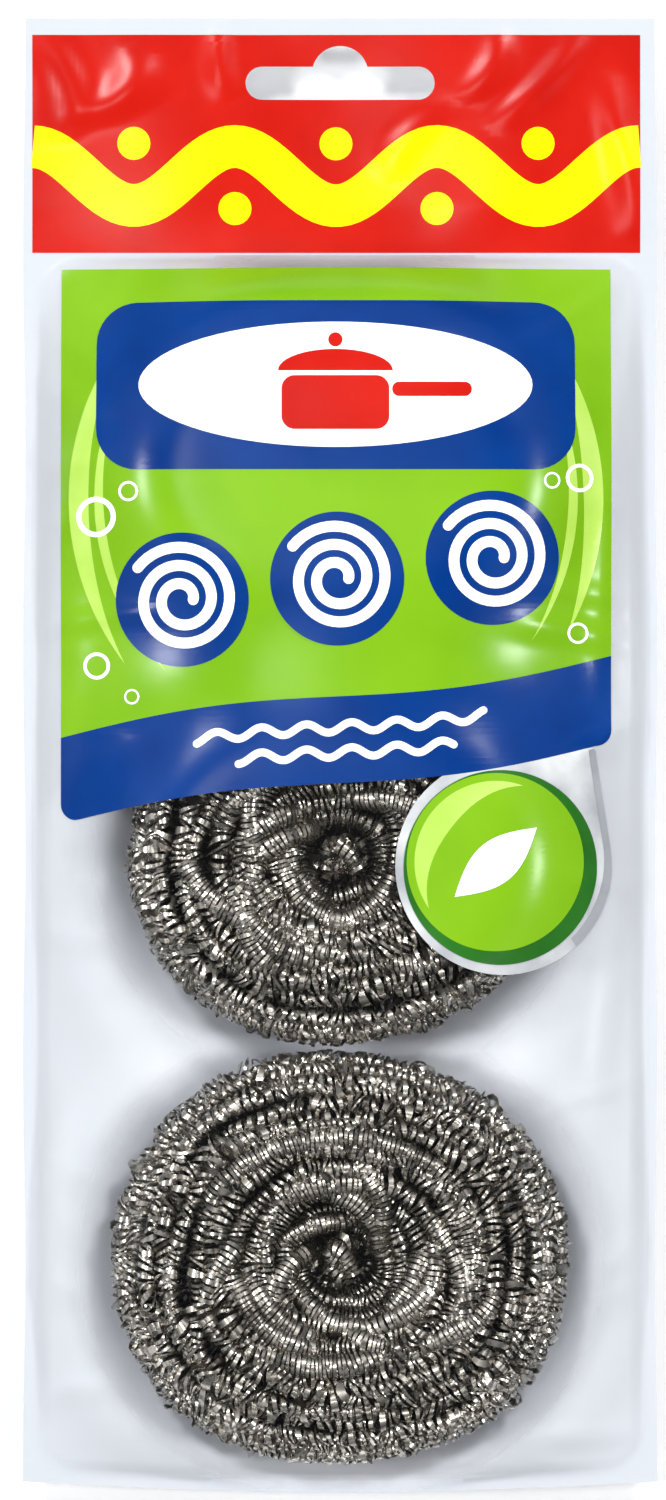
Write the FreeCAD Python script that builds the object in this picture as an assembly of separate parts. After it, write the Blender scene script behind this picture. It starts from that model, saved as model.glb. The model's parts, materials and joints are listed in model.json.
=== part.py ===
"""Pot scrubbers in a clear hang bag.

Each scrubber is one long coil of flat steel wire, wound into a thick oblong ring with a closed eye.
The coil is modelled as a strand of its outer diameter, laid turn beside turn round the ring.
The bag is two films welded along their edges, with a header that hangs on a peg.

Frame: millimetres, +Z up out of the front film, +Y towards the header.
The origin is on the table under the middle of the bag, which lies on its back.
"""

import FreeCAD, Part
import math
import os

Vector = FreeCAD.Vector
X_AXIS = Vector(1, 0, 0)
Y_AXIS = Vector(0, 1, 0)
Z_AXIS = Vector(0, 0, 1)

# Scrubbers: the diameter of each ring's round ends, and the straight run between them
lower_pad_diameter = 70.5
lower_pad_run = 7.5
middle_pad_diameter = 64.5
middle_pad_run = 8.0
upper_pad_diameter = 64.5
upper_pad_run = 8.0
pad_thickness = 24.0
strand_diameter = 4.2
turn_gap = 0.2
core_gap = 0.45
eye_gap = 0.3
leg_gap = 0.4
leg_lift = 4.6
rim_angle = 50.0

# Room round the scrubbers inside the bag
lower_pad_travel = 3.0
middle_pad_travel = 5.0
upper_pad_travel = 5.0
seat_gap = 0.3
pad_gap = 0.9
side_room = 12.5
bottom_room = 2.2
header_room = 4.0

# Bag films and the welds that join them
film = 0.2
weld_height = 9.0
side_weld = 2.0
bottom_weld = 2.0
bottom_bow = 1.8
header_length = 40.0
side_slope = 20.0
bottom_slope = 5.0
header_slope = 10.0
pouch_corner = 7.0
crown_angle = 75.0

# The front film's arch between the scrubbers, which stand out of it as domes
arch_rise = 15.2
arch_slope = 46.0
arch_end_slope = 18.0
arch_corner = 5.0
arch_power = 2.2

# Hang slot: a rounded bar with a round crown that centres on the peg
slot_width = 32.0
slot_height = 5.6
slot_drop = 11.0
crown_diameter = 9.6
crown_rise = 1.5

# Sizes that follow from those above
pad_sizes = {
    "lower": (lower_pad_diameter, lower_pad_run),
    "middle": (middle_pad_diameter, middle_pad_run),
    "upper": (upper_pad_diameter, upper_pad_run),
}
pad_travels = {
    "lower": lower_pad_travel,
    "middle": middle_pad_travel,
    "upper": upper_pad_travel,
}
strand_radius = strand_diameter / 2
widest_pad = max(diameter + run for diameter, run in pad_sizes.values())
stack_height = sum(diameter for diameter, run in pad_sizes.values()) + pad_gap * (len(pad_sizes) - 1)
pouch_width = widest_pad + 2 * side_room
pouch_length = bottom_room + stack_height + header_room
bag_width = pouch_width + 2 * side_weld
bag_length = bottom_weld + pouch_length + header_length
bag_depth = pad_thickness + 2 * (film + seat_gap)
bag_bottom = -bag_length / 2
pouch_bottom = bag_bottom + bottom_weld
header_line = pouch_bottom + pouch_length
pad_back_height = film + seat_gap
pad_middle_height = pad_back_height + pad_thickness / 2


# The strand: a round tube laid along half turns and straight runs
class Strand:
    """A tube that grows from one end, leg by leg, and is closed into a solid at the other."""

    def __init__(self, start, direction):
        self.profile = Part.Edge(Part.Circle(start, direction, strand_radius))
        self.faces = [Part.Face(Part.Wire(self.profile))]

    def half_turn(self, start, end, axis):
        """Half a turn about the axis through the middle of the two points."""
        middle = (start + end) / 2
        self.faces.append(self.profile.revolve(middle, axis, 180))
        self.profile = self.profile.rotated(middle, axis, 180)

    def straight_run(self, run):
        self.faces.append(self.profile.extrude(run))
        self.profile = self.profile.translated(run)

    def solid(self):
        cap = Part.Face(Part.Wire(self.profile))
        shell = Part.makeShell(self.faces + [cap])
        shell.sewShape()
        solid = Part.Solid(shell)
        if solid.Volume < 0:
            solid.reverse()
        return solid


class Ring:
    """The oblong ring of one scrubber: where its turns of strand lie."""

    def __init__(self, diameter, run, y):
        self.half_run = run / 2
        self.y = y
        outer_radius = diameter / 2 - strand_radius
        eye_radius = strand_diameter + eye_gap
        self.section_radius = (outer_radius + eye_radius) / 2
        self.section_reach = (outer_radius - eye_radius) / 2
        self.section_rise = pad_thickness / 2 - strand_radius

    def stations(self):
        """Radius and height where each half turn starts, from the eye over the front and round the back."""
        middle = Vector(self.section_radius, pad_middle_height, 0)
        section = Part.Ellipse(middle, self.section_reach, self.section_rise)
        girth = section.length()
        turns = int(girth / (strand_diameter + turn_gap))
        places = []
        for half in range(2 * turns - 1):
            along = girth / 2 - half * girth / (2 * turns)
            place = section.value(section.parameterAtDistance(along % girth, 0))
            places.append((place.x, place.y))
        return places

    def junction(self, half, place):
        """The point where a half turn starts: near side for even ones, far side for odd ones."""
        radius, height = place
        side = -1 if half % 2 == 0 else 1
        return Vector(-side * self.half_run, self.y + side * radius, height)

    def wind(self, places, first, last):
        """The length of strand from one station to another."""
        start = self.junction(first, places[first])
        strand = Strand(start, X_AXIS)
        for half in range(first, last):
            outward = 1 if half % 2 == 0 else -1
            radius, height = places[half + 1]
            end = Vector(start.x, self.y + outward * radius, height)
            strand.half_turn(start, end, (X_AXIS * outward).cross(end - start))
            start = self.junction(half + 1, places[half + 1])
            strand.straight_run(start - end)
        return strand.solid()

    def core(self):
        """The turns packed inside the outer layer, as one ring of their outer shape."""
        inset = strand_radius + core_gap
        middle = Vector(self.half_run, self.y + self.section_radius, pad_middle_height)
        out = middle + Y_AXIS * (self.section_reach - inset)
        up = middle + Z_AXIS * (self.section_rise - inset)
        section = Part.Face(Part.Wire(Part.Ellipse(out, up, middle).toShape()))
        end = section.revolve(Vector(self.half_run, self.y, 0), Z_AXIS, -180)
        run = section.extrude(X_AXIS * -2 * self.half_run)
        half_ring = end.fuse(run)
        other_half = half_ring.rotated(Vector(0, self.y, 0), Z_AXIS, 180)
        return half_ring.fuse(other_half).removeSplitter()

    def dome(self, travel, inset):
        """The film's bulge over the ring's front, wide enough for its travel and taken in by inset."""
        grow = seat_gap + film - inset
        half_run = self.half_run + travel
        edge_radius = self.section_radius + self.section_reach + strand_radius + grow
        top = pad_middle_height + pad_thickness / 2 + grow
        corners = [
            Vector(half_run, self.y + radius, height)
            for radius, height in (
                (0, weld_height),
                (edge_radius, weld_height),
                (edge_radius, pad_middle_height),
                (self.section_radius, top),
                (0, top),
            )
        ]
        middle = Vector(half_run, self.y + self.section_radius, pad_middle_height)
        shoulder = Part.ArcOfEllipse(Part.Ellipse(corners[2], corners[3], middle), 0, math.pi / 2)
        edges = [Part.makeLine(corners[i], corners[(i + 1) % 5]) for i in (0, 1, 3, 4)]
        edges.insert(2, shoulder.toShape())
        section = Part.Face(Part.Wire(edges))
        end = section.revolve(Vector(half_run, self.y, 0), Z_AXIS, -180)
        run = section.extrude(X_AXIS * -2 * half_run)
        half_dome = end.fuse(run)
        other_half = half_dome.rotated(Vector(0, self.y, 0), Z_AXIS, 180)
        return half_dome.fuse(other_half).removeSplitter()

    def tucked_end(self):
        """The strand's last end, folded double in the eye, its fold level with the front turns."""
        leg_spread = strand_diameter + leg_gap
        fold_height = pad_middle_height + self.section_rise - leg_spread / 2
        leg = Z_AXIS * (fold_height - pad_back_height - leg_lift)
        left = Vector(-leg_spread / 2, self.y, fold_height)
        right = Vector(leg_spread / 2, self.y, fold_height)
        strand = Strand(left - leg, Z_AXIS)
        strand.straight_run(leg)
        strand.half_turn(left, right, Y_AXIS)
        strand.straight_run(leg * -1)
        return strand.solid()


def wound_pad(name, ring):
    """One scrubber: its outer layer in three lengths, the core under it and the tucked end."""
    places = ring.stations()
    rim_start = ring.section_radius + math.cos(math.radians(rim_angle)) * ring.section_reach
    on_rim = [i for i, (radius, height) in enumerate(places) if radius > rim_start]
    return {
        name + "_pad_front_turns": ring.wind(places, 0, on_rim[0]),
        name + "_pad_rim_turns": ring.wind(places, on_rim[0], on_rim[-1]),
        name + "_pad_back_turns": ring.wind(places, on_rim[-1], len(places) - 1),
        name + "_pad_core_turns": ring.core(),
        name + "_pad_tucked_end": ring.tucked_end(),
    }


# The bag: two films, each a flat welded margin round a raised pouch
def pouch_outline(side, low, high, corner, z):
    """A rectangle with rounded corners, from -side to side across and from low to high along the bag."""
    width = 2 * (side - corner)
    length = high - low - 2 * corner
    inner = Part.makePlane(width, length, Vector(-width / 2, low + corner, z))
    return inner.OuterWire.makeOffset2D(corner)


def back_pouch(inset):
    """The back film's bulge, taken in by inset: a sine-shaped slope from the weld to a flat face."""
    outlines = []
    levels = 4
    turn = math.radians(crown_angle)
    for level in range(levels):
        share = level / (levels - 1)
        climb = math.sin(share * turn) / math.sin(turn)
        outlines.append(
            pouch_outline(
                pouch_width / 2 - side_slope * share - inset,
                pouch_bottom + bottom_slope * share + inset,
                header_line - header_slope * share - inset,
                pouch_corner + side_slope * share / 2 - inset,
                weld_height - (weld_height - inset) * climb,
            )
        )
    return Part.makeLoft(outlines, True)


def front_arch(inset):
    """The front film between the scrubbers, taken in by inset: an arch from side to side."""
    outlines = []
    levels = 6
    half = pouch_width / 2
    crown = 1 - (1 - arch_slope / half) ** arch_power
    for level in range(levels):
        share = level / (levels - 1)
        climb = (1 - (1 - share * arch_slope / half) ** arch_power) / crown
        outlines.append(
            pouch_outline(
                half - arch_slope * share - inset,
                pouch_bottom + arch_end_slope * share + inset,
                header_line - arch_end_slope * share - inset,
                pouch_corner + (arch_corner - pouch_corner) * share - inset,
                weld_height + (arch_rise - inset) * climb,
            )
        )
    return Part.makeLoft(outlines, True)


def front_pouch(rings, inset):
    """The front film's bulge, taken in by inset: the arch with a dome over each scrubber."""
    domes = [ring.dome(pad_travels[name], inset) for name, ring in rings.items()]
    return front_arch(inset).fuse(domes)


def margin(bottom, thickness):
    """The flat sheet of one film, with its slightly bowed bottom edge."""
    half = bag_width / 2
    corners = [
        Vector(-half, bag_bottom + bottom_bow, bottom),
        Vector(half, bag_bottom + bottom_bow, bottom),
        Vector(half, -bag_bottom, bottom),
        Vector(-half, -bag_bottom, bottom),
    ]
    bow = Part.Arc(corners[0], Vector(0, bag_bottom, bottom), corners[1]).toShape()
    edges = [bow] + [Part.makeLine(corners[i], corners[(i + 1) % 4]) for i in (1, 2, 3)]
    return Part.Face(Part.Wire(edges)).extrude(Z_AXIS * thickness)


def hang_slot():
    """The cutter for the hang slot, through both films."""
    bar_y = -bag_bottom - slot_drop
    end_radius = slot_height / 2
    reach = slot_width / 2 - end_radius
    low = weld_height - 2 * film
    depth = 4 * film
    bar = Part.makeBox(2 * reach, slot_height, depth, Vector(-reach, bar_y - end_radius, low))
    ends = [Part.makeCylinder(end_radius, depth, Vector(x, bar_y, low)) for x in (-reach, reach)]
    crown = Part.makeCylinder(crown_diameter / 2, depth, Vector(0, bar_y + crown_rise, low))
    return bar.fuse(ends + [crown])


def bag_film(sheet_bottom, outer, inner):
    """One film: its sheet with the pouch raised on it, hollowed and cut for the peg."""
    return margin(sheet_bottom, film).fuse(outer).cut([inner, hang_slot()]).removeSplitter()


def build():
    rings = {}
    low = pouch_bottom + bottom_room
    for name, (diameter, run) in pad_sizes.items():
        rings[name] = Ring(diameter, run, low + diameter / 2)
        low += diameter + pad_gap
    pieces = {
        "front_film": bag_film(weld_height, front_pouch(rings, 0), front_pouch(rings, film)),
        "back_film": bag_film(weld_height - film, back_pouch(0), back_pouch(film)),
    }
    for name, ring in rings.items():
        pieces.update(wound_pad(name, ring))
    return pieces


os.makedirs("parts", exist_ok=True)
for node, shape in build().items():
    shape.exportStep("parts/" + node + ".step")
    print(node, len(shape.Solids), shape.isValid(), round(shape.Volume, 1))
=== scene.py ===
# %% [markdown]
# # Pot scrubbers in a clear hang bag
# The pack is two thin films welded round the edge, with three coiled steel scrubbers lying loose between
# them. The CAD model gives the sizes, the joints and the place of every body. Blender adds what the eye
# looks for: the flat wire in the coils, the slack film, the print and the light.

import json
import math

import bpy
import numpy as np
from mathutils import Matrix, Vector


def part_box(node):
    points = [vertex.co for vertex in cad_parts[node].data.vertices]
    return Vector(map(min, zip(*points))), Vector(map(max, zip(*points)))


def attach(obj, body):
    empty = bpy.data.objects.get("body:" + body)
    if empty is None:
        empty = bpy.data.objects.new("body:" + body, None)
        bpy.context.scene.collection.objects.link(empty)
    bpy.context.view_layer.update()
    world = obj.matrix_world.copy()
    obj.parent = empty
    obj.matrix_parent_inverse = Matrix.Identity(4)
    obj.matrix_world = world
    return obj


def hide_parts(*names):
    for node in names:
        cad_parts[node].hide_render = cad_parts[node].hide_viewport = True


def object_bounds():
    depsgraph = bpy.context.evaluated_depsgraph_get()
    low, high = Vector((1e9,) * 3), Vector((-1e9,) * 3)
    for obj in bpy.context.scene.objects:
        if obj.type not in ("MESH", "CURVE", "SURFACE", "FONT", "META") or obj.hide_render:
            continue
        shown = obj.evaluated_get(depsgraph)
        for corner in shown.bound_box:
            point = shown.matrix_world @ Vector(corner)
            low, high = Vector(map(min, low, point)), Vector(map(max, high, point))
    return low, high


MM = 0.001
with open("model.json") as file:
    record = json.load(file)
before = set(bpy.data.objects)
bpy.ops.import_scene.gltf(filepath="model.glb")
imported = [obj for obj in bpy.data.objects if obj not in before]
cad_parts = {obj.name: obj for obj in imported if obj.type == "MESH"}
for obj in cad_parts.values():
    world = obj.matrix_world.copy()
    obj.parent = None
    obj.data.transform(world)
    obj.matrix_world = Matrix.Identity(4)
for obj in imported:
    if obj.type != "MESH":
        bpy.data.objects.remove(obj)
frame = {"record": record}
cad_low, cad_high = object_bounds()
bpy.ops.object.select_all(action="DESELECT")
bag_width = (cad_high.x - cad_low.x) / MM
bag_length = (cad_high.y - cad_low.y) / MM
weld_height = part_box("back_film")[1].z / MM
print("bag", round(bag_width, 1), "by", round(bag_length, 1), "mm, weld at", round(weld_height, 1))

# %% [markdown]
# ## Camera
# A pack shot is taken from far away with a long lens, straight down on the pack, so that nothing
# looks tapered. The distance follows from the lens and from how many millimetres the picture is high.

# %% Place the camera
photo_height = 1500
mm_per_pixel = 0.1693
view_height = photo_height * mm_per_pixel
view_centre = (-1.2, 0.85)
lens = 180.0
sensor = 36.0
distance = view_height * lens / sensor
bpy.ops.object.camera_add(
    location=(view_centre[0] * MM, view_centre[1] * MM, (weld_height + distance) * MM)
)
camera = bpy.context.object
camera.name = "pack_camera"
camera.data.lens = lens
camera.data.sensor_width = sensor
bpy.context.scene.camera = camera
bpy.context.scene.view_settings.view_transform = "Standard"
print("camera", round(distance), "mm above the weld")

# %% [markdown]
# ## Floor and light
# The floor is plain and nearly white. Film and steel show nothing but reflections, so the light is a
# dim tent with a ring of small bright lamps round the camera. The tent is dark above, so the flat film
# mirrors next to nothing. Each loop of wire catches every lamp as a glint, and is dark elsewhere.

# %% Helpers for colours and nodes
def linear(hex_colour):
    """An sRGB hex colour as linear red, green, blue and alpha."""
    channels = [int(hex_colour[i : i + 2], 16) / 255 for i in (1, 3, 5)]
    return [c / 12.92 if c <= 0.04045 else ((c + 0.055) / 1.055) ** 2.4 for c in channels] + [1.0]


def add_node(tree, kind, inputs=None, stops=(), **settings):
    """Adds a node with its settings and links.

    An input is a value, an output, or a node, whose first output is then linked. stops are the places
    and colours of a ramp.
    """
    node = tree.nodes.new("ShaderNode" + kind)
    for name, value in settings.items():
        setattr(node, name, value)
    # A ramp starts with two stops.
    for _ in stops[2:]:
        node.color_ramp.elements.new(0.5)
    for number, (position, colour) in enumerate(stops):
        node.color_ramp.elements[number].position = position
        node.color_ramp.elements[number].color = linear(colour)
    for socket, value in (inputs or {}).items():
        if isinstance(value, bpy.types.Node):
            value = value.outputs[0]
        if isinstance(value, bpy.types.NodeSocket):
            tree.links.new(value, node.inputs[socket])
        else:
            node.inputs[socket].default_value = value
    return node


def new_material(name):
    """An empty material and its node tree."""
    material = bpy.data.materials.new(name)
    material.use_nodes = True
    material.node_tree.nodes.clear()
    return material, material.node_tree


def pattern(place, millimetres, detail):
    """Settings for a pattern on the piece, with features about this many millimetres wide."""
    return {"Vector": place.outputs["Object"], "Scale": 1 / (millimetres * MM), "Detail": detail}


# %% Floor
floor_drop = 0.3
floor_size = 6
bpy.ops.mesh.primitive_plane_add(size=floor_size, location=(0, 0, -floor_drop * MM))
floor = bpy.context.object
floor.name = "floor"
# Matt paper has no shine, so the floor shows nothing but soft shadows.
floor_paper, tree = new_material("matt_white_paper")
shader = add_node(tree, "BsdfPrincipled", {"Base Color": linear("#FAFAFA"), "Roughness": 0.9})
add_node(tree, "OutputMaterial", {"Surface": shader})
floor.data.materials.append(floor_paper)
print("floor", floor_drop, "mm under the bag")

# %% Light tent
world = bpy.data.worlds.new("light_tent")
bpy.context.scene.world = world
world.use_nodes = True
tree = world.node_tree
tree.nodes.clear()
direction = add_node(tree, "TexCoord")
height = add_node(tree, "SeparateXYZ", {0: direction.outputs["Generated"]})
tent = [
    # height in the tent, colour
    (0.0, "#6A6F78"),
    (0.3, "#9AA2AE"),
    (0.5, "#FFFFFF"),
    (0.72, "#FFFCF6"),
    (0.9, "#6C7078"),
    (1.0, "#4A4C52"),
]
band = add_node(tree, "ValToRGB", {"Fac": height.outputs["Z"]}, tent)
band.color_ramp.interpolation = "EASE"
bright_side = (-0.25, 0.2, 0.0)
tent_glow = 0.6
side = add_node(
    tree,
    "VectorMath",
    {0: direction.outputs["Generated"], 1: bright_side},
    operation="DOT_PRODUCT",
)
strength = add_node(tree, "Math", {0: side.outputs["Value"], 1: tent_glow}, operation="ADD")
glow = add_node(tree, "Background", {"Color": band, "Strength": strength})
add_node(tree, "OutputWorld", {"Surface": glow})
print("tent with", len(tent), "stops")

# %% Lamps
lamp_distance = 1.5
lamp_size = 0.24
lamps = {
    # name: angle round the pack, angle from upright, watts
    "sheen_lamp": (160, 8, 1.3),
    "top_left_lamp": (125, 32, 7.2),
    "top_right_lamp": (55, 34, 7.2),
    "left_lamp": (180, 40, 6.8),
    "right_lamp": (-5, 40, 7.4),
    "bottom_left_lamp": (240, 36, 1.2),
    "bottom_right_lamp": (305, 38, 1.3),
}
for name, (round_angle, tilt, watts) in lamps.items():
    flat = lamp_distance * math.sin(math.radians(tilt))
    place = Vector(
        (
            flat * math.cos(math.radians(round_angle)),
            flat * math.sin(math.radians(round_angle)),
            lamp_distance * math.cos(math.radians(tilt)),
        )
    )
    bpy.ops.object.light_add(type="AREA", location=place)
    lamp = bpy.context.object
    lamp.name = name
    lamp.rotation_euler = (-place).to_track_quat("-Z", "Y").to_euler()
    lamp.data.shape = "DISK"
    lamp.data.size = lamp_size
    lamp.data.energy = watts
print(len(lamps), "lamps")

# %% [markdown]
# ## Where the scrubbers lie
# Each scrubber is an oblong ring. Its size and place are read from the CAD nodes' boxes, and its travel
# from the joint that lets it shift sideways. Both the wire and the film are worked out from these.

# %% Read the rings
strand_radius = 2.1
eye_radius = 4.5
loose_loops = 2.2


class Ring:
    """The oblong ring of one scrubber, in millimetres."""

    def __init__(self, name):
        low, high = (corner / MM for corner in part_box(name + "_rim_turns"))
        self.name = name
        self.y = (low.y + high.y) / 2
        self.outer_radius = (high.y - low.y) / 2
        self.half_run = (high.x - low.x) / 2 - self.outer_radius
        self.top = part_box(name + "_front_turns")[1].z / MM
        self.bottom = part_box(name + "_back_turns")[0].z / MM
        self.middle = (self.top + self.bottom) / 2
        self.half_thickness = (self.top - self.bottom) / 2
        self.section_radius = (self.outer_radius - strand_radius + eye_radius) / 2
        self.section_reach = (self.outer_radius - strand_radius - eye_radius) / 2
        self.section_rise = self.half_thickness - strand_radius
        joints = frame["record"]["behaviour"]["joints"]
        self.travel = max(j["range_m"][1] for j in joints if j["child"] == name) / MM

    def outside(self, x, y):
        """How far a point is outside the ring's outline, seen from above."""
        return np.hypot(np.maximum(np.abs(x) - self.half_run, 0), y - self.y) - self.outer_radius

    def bulge(self, x, y):
        """How far the ring's face stands out from its middle height, swept over its travel."""
        beyond = np.maximum(np.abs(x) - self.half_run - self.travel, 0)
        away = np.hypot(beyond, y - self.y)
        rim = self.outer_radius + loose_loops
        fall = np.clip((away - self.section_radius) / (rim - self.section_radius), 0, 1)
        out = self.half_thickness * np.sqrt(1 - fall**2)
        return np.where(away < rim, out, -np.inf)


rings = [Ring(name) for name in ("lower_pad", "middle_pad", "upper_pad")]
contact_gap = 0.1
for below, above in zip(rings, rings[1:]):
    contact = (below.y + below.outer_radius + above.y - above.outer_radius) / 2
    below.high_side = contact - contact_gap / 2
    above.low_side = contact + contact_gap / 2
rings[0].low_side = rings[0].y - rings[0].outer_radius + loose_loops / 4
rings[-1].high_side = rings[-1].y + rings[-1].outer_radius
for ring in rings:
    size = f"radius {ring.outer_radius:.2f}, straight run {2 * ring.half_run:.2f}"
    print(ring.name, "at", round(ring.y, 1), size)

# %% [markdown]
# ## The films
# A filled bag pulls its film tight over what is inside and leaves it slack elsewhere. A cloth simulation
# would do, but a tight film is simply the smoothest surface that stays outside the scrubbers and is
# held at the weld. That is found by averaging each point with its neighbours, over and over. Soft folds
# are then added where the film touches nothing.

# %% Grid of the film
cell = 1.0
side_weld = 2.0
bottom_weld = 2.0
header_length = 40.0
bottom_bow = 1.8
pouch_corner = 7.0
film_clearance = 0.8
half_width = bag_width / 2
half_length = bag_length / 2
header_line = half_length - header_length
grid_x = np.linspace(-half_width, half_width, round(bag_width / cell) + 1)
grid_y = np.linspace(-half_length, half_length, round(bag_length / cell) + 1)
film_x, film_y = np.meshgrid(grid_x, grid_y)


def depth_in_pouch(x, y):
    """How far inside the pouch's outline a point is. The outline is a rectangle with round corners."""
    middle_y = (header_line - half_length + bottom_weld) / 2
    across = np.abs(x) - (half_width - side_weld - pouch_corner)
    along = np.abs(y - middle_y) - ((header_line + half_length - bottom_weld) / 2 - pouch_corner)
    corner = np.hypot(np.maximum(across, 0), np.maximum(along, 0))
    return pouch_corner - corner - np.minimum(np.maximum(across, along), 0)


def ease(share):
    """Makes an even rise from 0 to 1 start and end softly."""
    return share * share * (3 - 2 * share)


weld_roll = 2.0
depth = depth_in_pouch(film_x, film_y)
pouch = depth > 0
lift = ease(np.clip(depth / weld_roll, 0, 1))
bulge = np.max([ring.bulge(film_x, film_y) for ring in rings], axis=0)
middle = rings[0].middle
print("grid", film_x.shape, "pouch cells", int(pouch.sum()))


# %% Pull the films tight
pulling = 2500
smoothing = 14


def average(height):
    """Moves each inner point to the mean height of its four neighbours."""
    around = height[:-2, 1:-1] + height[2:, 1:-1] + height[1:-1, :-2] + height[1:-1, 2:]
    height[1:-1, 1:-1] = around / 4


def pull_tight(obstacle):
    """Distances from the weld of the tightest film that stays outside the obstacle in the pouch."""
    height = np.where(pouch, np.max(obstacle), 0.0)
    for _ in range(pulling):
        average(height)
        height = np.where(pouch, np.maximum(height, obstacle), 0.0)
    for _ in range(smoothing):
        average(height)
    return height * lift


front_obstacle = middle + bulge + film_clearance - weld_height
back_obstacle = weld_height - (middle - bulge - film_clearance)
front_height = pull_tight(front_obstacle)
back_height = pull_tight(back_obstacle)
front_room = (front_height - front_obstacle + film_clearance)[pouch].min()
print("front rises", round(front_height.max(), 2), "and clears the scrubbers by", round(front_room, 2))


# %% Fold the slack film
def fold(start, end, width, height):
    """A soft ridge along the line from start to end, fading at both ends."""
    along = np.subtract(end, start)
    length = np.hypot(*along)
    along = along / length
    share = ((film_x - start[0]) * along[0] + (film_y - start[1]) * along[1]) / length
    off = (film_x - start[0]) * -along[1] + (film_y - start[1]) * along[0]
    bend = width * np.sin(3 * share + start[0])
    fade = np.clip(share * (1 - share) * 4, 0, 1) * ((share > 0) & (share < 1))
    return height * fade * np.exp(-(((off - bend) / width) ** 2))


side_folds = 5
side_fold_place = (43, 49)
side_fold_foot = (-115, 20)
side_fold_length = (35, 70)
side_fold_width = (2.0, 3.5)
side_fold_height = (0.5, 1.1)
side_fold_slant = 3
ring_folds = 5
ring_fold_spread = 1.35
ring_fold_height = (0.3, 0.8)
ring_fold_inset = 3
ring_fold_gap = 4
ring_fold_end = 52
header_folds = 9
header_fold_place = 46
header_fold_start = 2
header_fold_length = (10, 18)
header_fold_height = (0.1, 0.3)
fine_fold_width = (1.6, 3.0)
fine_fold_slant = 6


def folds(seed):
    """All the folds of one film: down the sides, out from the scrubbers and under the header."""
    chance = np.random.RandomState(seed)
    total = np.zeros_like(film_x)
    for side in (-1, 1):
        for _ in range(side_folds):
            x = side * chance.uniform(*side_fold_place)
            low = chance.uniform(*side_fold_foot)
            high = low + chance.uniform(*side_fold_length)
            end = (x + chance.uniform(-side_fold_slant, side_fold_slant), high)
            width = chance.uniform(*side_fold_width)
            total += fold((x, low), end, width, chance.uniform(*side_fold_height))
        for ring in rings:
            for _ in range(ring_folds):
                turn = chance.uniform(-1.0, 1.0)
                reach = ring.outer_radius - ring_fold_inset
                start_x = side * (reach * math.cos(turn) + ring_fold_gap)
                start = (start_x, ring.y + reach * math.sin(turn))
                end_y = ring.y + ring_fold_spread * reach * math.sin(turn)
                end = (side * ring_fold_end, end_y + chance.uniform(-fine_fold_slant, fine_fold_slant))
                width = chance.uniform(*fine_fold_width)
                total += fold(start, end, width, chance.uniform(*ring_fold_height))
    for _ in range(header_folds):
        x = chance.uniform(-header_fold_place, header_fold_place)
        end_x = x + chance.uniform(-fine_fold_slant, fine_fold_slant)
        end = (end_x, header_line - chance.uniform(*header_fold_length))
        start = (x, header_line + header_fold_start)
        width = chance.uniform(*fine_fold_width)
        total += fold(start, end, width, chance.uniform(*header_fold_height))
    return total


# The film is tight over a scrubber, and slack from this far beside it on.
hazy_distance = 9.0
# The back film bows down to just above the table at most.
table_margin = 0.1
beside_rings = np.min([ring.outside(film_x, film_y) for ring in rings], axis=0)
looseness = ease(np.clip(beside_rings / hazy_distance, 0, 1))
front_folds = folds(4) * looseness * lift
front_height = front_height + front_folds
back_folds = folds(9) * looseness * lift
back_height = np.minimum(back_height + back_folds, weld_height - table_margin)
print("deepest fold", round(float(front_folds.max()), 2), "mm")

# %% [markdown]
# The header and the welds are both films lying on each other, so they share one gentle waviness.
# Each film is a grid that takes these heights, gets its hang slot cut and is given its thickness last.

# %% Waves of the header
wave_fade = 8
crease_fade = 4


def header_wave(x, y):
    """The height of the flat films, which are never quite flat: three slanting waves added up."""
    rise = np.clip((y - header_line) / wave_fade, 0, 1)
    across = 0.35 * np.sin(x / 9.0 + y / 21.0) + 0.22 * np.sin(x / 4.3 - y / 7.5 + 1.0)
    crease = 0.4 * np.sin(x / 6.1 - y / 9.5 + 2.0) * np.sin(x / 17.0 + 0.6)
    return rise * (across + crease)


header_creases = [
    # start, end, width, height
    ((-23.0, 125.0), (-16.0, 112.0), 2.4, 0.7),
    ((-50.5, 123.0), (-47.5, 103.0), 3.4, 1.0),
    ((-37.0, 121.0), (-41.0, 106.0), 4.0, 0.95),
    ((25.5, 125.0), (21.0, 110.0), 3.0, 0.78),
    ((39.0, 124.0), (28.0, 104.0), 2.6, 0.75),
    ((49.0, 116.0), (46.5, 86.5), 3.4, 1.05),
    ((15.0, 110.0), (10.5, 96.0), 2.8, 0.55),
]
wave = header_wave(film_x, film_y)
in_header = np.clip((film_y - header_line) / crease_fade, 0, 1)
for start, end, width, height in header_creases:
    wave = wave + fold(start, end, width, height) * in_header
print("header waves", round(float(np.ptp(wave)), 2), "mm")


# %% Sheets from the grid
edge_wave_height = 0.2
edge_wave_length = 11
bow_start = 80


def edge_ripple(x, y):
    """The films' long edges aren't quite straight."""
    return edge_wave_height * np.sin(y / edge_wave_length) * (x / half_width) ** 5


def read_points(piece):
    """The places of a piece's points, a row for each."""
    places = np.empty(len(piece.data.vertices) * 3)
    piece.data.vertices.foreach_get("co", places)
    return places.reshape(-1, 3)


def move_points(piece, places):
    """Moves a piece's points to these places, which are in millimetres."""
    piece.data.vertices.foreach_set("co", (places * MM).ravel())
    piece.data.update()


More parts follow.
